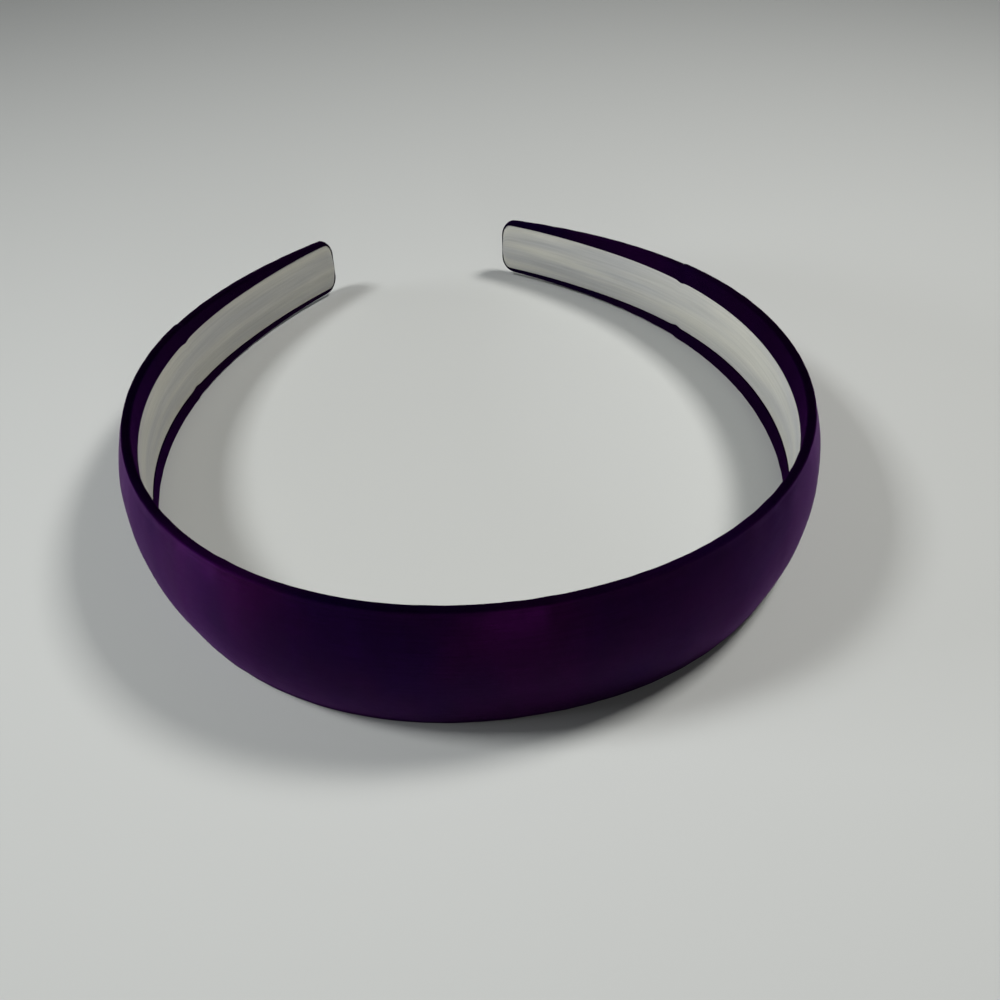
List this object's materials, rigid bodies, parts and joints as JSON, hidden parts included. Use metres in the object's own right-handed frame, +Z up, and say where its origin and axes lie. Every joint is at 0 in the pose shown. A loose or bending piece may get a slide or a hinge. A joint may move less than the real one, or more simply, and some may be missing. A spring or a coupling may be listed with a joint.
{
  "type": "wide satin headband",
  "caption": "Wide padded headband covered in satin: a springy horseshoe band, widest over the crown and narrow at its rounded tips, with a pale lining strip inside.",
  "frame": {"origin": "under the middle of the whole band, on the surface that it lies on", "axes": "+Z up from that surface, along the band's width; +Y from the crown towards the tips; +X towards the right arm seen from the crown"},
  "size_m": [0.1318, 0.1368, 0.0264],
  "materials": {
    "satin": "dark purple satin weave with a soft sheen",
    "lining": "off-white smooth ribbon with a faint sheen"
  },
  "bodies": {
    "root": {"satin_cover": "satin", "lining": "lining"}
  },
  "joints": []
}
